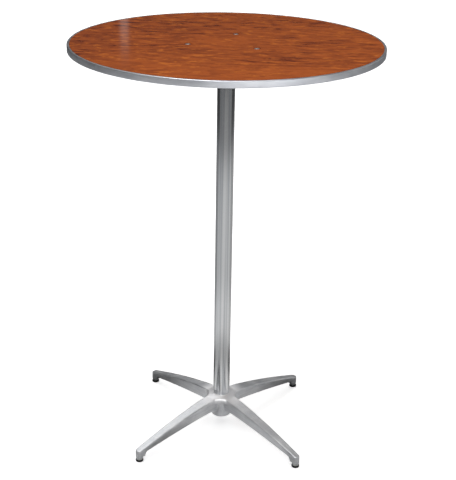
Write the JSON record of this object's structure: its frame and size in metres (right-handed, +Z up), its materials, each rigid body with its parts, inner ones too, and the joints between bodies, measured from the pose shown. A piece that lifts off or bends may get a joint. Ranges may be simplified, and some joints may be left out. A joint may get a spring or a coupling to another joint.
{
  "type": "pub table",
  "caption": "Tall round pub table: stained plywood top in a metal edge band, on a slim steel column and a cast aluminium base of spreading arms with levelling glides.",
  "frame": {"origin": "on the floor, under the column's axis, with the glides screwed home", "axes": "+Z up along the column; the base's arms point along the diagonals of X and Y; the grain of the top runs along X; the picture looks along +Y"},
  "size_m": [0.765, 0.7649, 1.0668],
  "materials": {
    "stained_plywood": "red-brown stain under gloss varnish",
    "edge_aluminium": "extruded, polished by hand, slightly dulled",
    "plated_steel": "zinc plated",
    "cast_aluminium": "cast, ground and satin polished",
    "column_steel": "drawn tube, satin polished along its length",
    "black_nylon": "moulded"
  },
  "bodies": {
    "table": {"plywood_top": "stained_plywood", "edge_band": "edge_aluminium", "top_bolts": "plated_steel", "top_bolt_washers": "plated_steel", "top_bolt_nuts": "plated_steel", "top_spider": "cast_aluminium", "column_tube": "column_steel", "tie_rod": "plated_steel", "tie_rod_washer": "plated_steel", "tie_rod_spring_washer": "plated_steel", "tie_rod_nut": "plated_steel", "base_casting": "cast_aluminium"},
    "glide_front_right": {"glide_pad_front_right": "black_nylon"},
    "glide_screw_front_right": {"glide_stud_front_right": "plated_steel"},
    "glide_rear_right": {"glide_pad_rear_right": "black_nylon"},
    "glide_screw_rear_right": {"glide_stud_rear_right": "plated_steel"},
    "glide_rear_left": {"glide_pad_rear_left": "black_nylon"},
    "glide_screw_rear_left": {"glide_stud_rear_left": "plated_steel"},
    "glide_front_left": {"glide_pad_front_left": "black_nylon"},
    "glide_screw_front_left": {"glide_stud_front_left": "plated_steel"}
  },
  "joints": [
    {"name": "front_right_glide_height", "type": "slide", "parent": "table", "child": "glide_front_right", "axis": [0, 0, -1], "range_m": [0, 0.008]},
    {"name": "front_right_glide_turn", "type": "hinge", "parent": "glide_front_right", "child": "glide_screw_front_right", "pos_m": [0.20435, -0.20435, 0], "axis": [0, 0, -1], "range_deg": [0, 2304]},
    {"name": "rear_right_glide_height", "type": "slide", "parent": "table", "child": "glide_rear_right", "axis": [0, 0, -1], "range_m": [0, 0.008]},
    {"name": "rear_right_glide_turn", "type": "hinge", "parent": "glide_rear_right", "child": "glide_screw_rear_right", "pos_m": [0.20435, 0.20435, 0], "axis": [0, 0, -1], "range_deg": [0, 2304]},
    {"name": "rear_left_glide_height", "type": "slide", "parent": "table", "child": "glide_rear_left", "axis": [0, 0, -1], "range_m": [0, 0.008]},
    {"name": "rear_left_glide_turn", "type": "hinge", "parent": "glide_rear_left", "child": "glide_screw_rear_left", "pos_m": [-0.20435, 0.20435, 0], "axis": [0, 0, -1], "range_deg": [0, 2304]},
    {"name": "front_left_glide_height", "type": "slide", "parent": "table", "child": "glide_front_left", "axis": [0, 0, -1], "range_m": [0, 0.008]},
    {"name": "front_left_glide_turn", "type": "hinge", "parent": "glide_front_left", "child": "glide_screw_front_left", "pos_m": [-0.20435, -0.20435, 0], "axis": [0, 0, -1], "range_deg": [0, 2304]}
  ],
  "couplings": [
    {"joint": "front_right_glide_height", "follows": "front_right_glide_turn", "m_per_rad": 0.00019894},
    {"joint": "rear_right_glide_height", "follows": "rear_right_glide_turn", "m_per_rad": 0.00019894},
    {"joint": "rear_left_glide_height", "follows": "rear_left_glide_turn", "m_per_rad": 0.00019894},
    {"joint": "front_left_glide_height", "follows": "front_left_glide_turn", "m_per_rad": 0.00019894}
  ]
}
